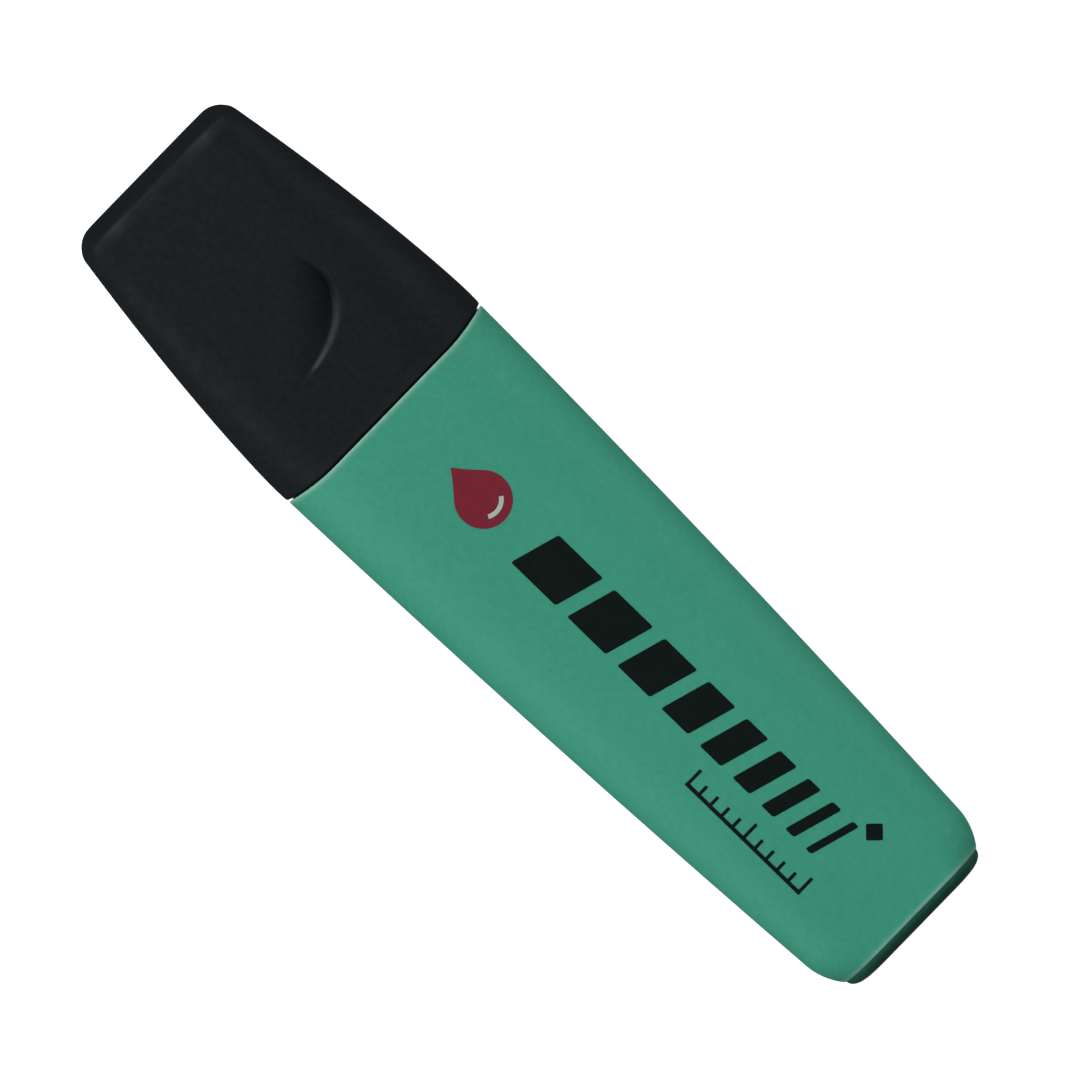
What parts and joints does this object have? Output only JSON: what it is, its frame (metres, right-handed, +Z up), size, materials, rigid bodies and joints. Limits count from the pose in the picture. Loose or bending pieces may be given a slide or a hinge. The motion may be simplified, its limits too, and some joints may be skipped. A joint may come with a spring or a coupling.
{
  "type": "highlighter",
  "caption": "Flat-barrelled highlighter with a tapered green body, a pull-off dark cap with a thumb recess on each face, a chisel nib and a fibre ink reservoir.",
  "frame": {"origin": "bottom centre of the capped pen's box, under the middle of its length as it lies on its back face", "axes": "+X along the pen from the tail to the nib and cap end, +Y across its width, +Z up out of the printed face"},
  "size_m": [0.105, 0.0268, 0.017],
  "materials": {
    "barrel_plastic": "satin moulded polypropylene, green",
    "plug_plastic": "satin moulded polypropylene, green",
    "section_plastic": "satin moulded plastic, near black",
    "nib_fibre": "pressed fibre, soaked with green ink",
    "reservoir_fibre": "bundled fibre, soaked with green ink",
    "reservoir_film": "thin wrapped film",
    "cap_plastic": "fine satin moulded plastic, dark grey",
    "inner_cap_plastic": "plain moulded plastic, dark grey"
  },
  "bodies": {
    "pen": {"barrel": "barrel_plastic", "end_plug": "plug_plastic", "nib_section": "section_plastic", "nib": "nib_fibre", "reservoir_fibre": "reservoir_fibre", "reservoir_film": "reservoir_film"},
    "cap": {"cap_shell": "cap_plastic", "inner_cap": "inner_cap_plastic"}
  },
  "joints": [
    {"name": "cap_slide", "type": "slide", "parent": "pen", "child": "cap", "axis": [1, 0, 0], "range_m": [0, 0.04]}
  ]
}
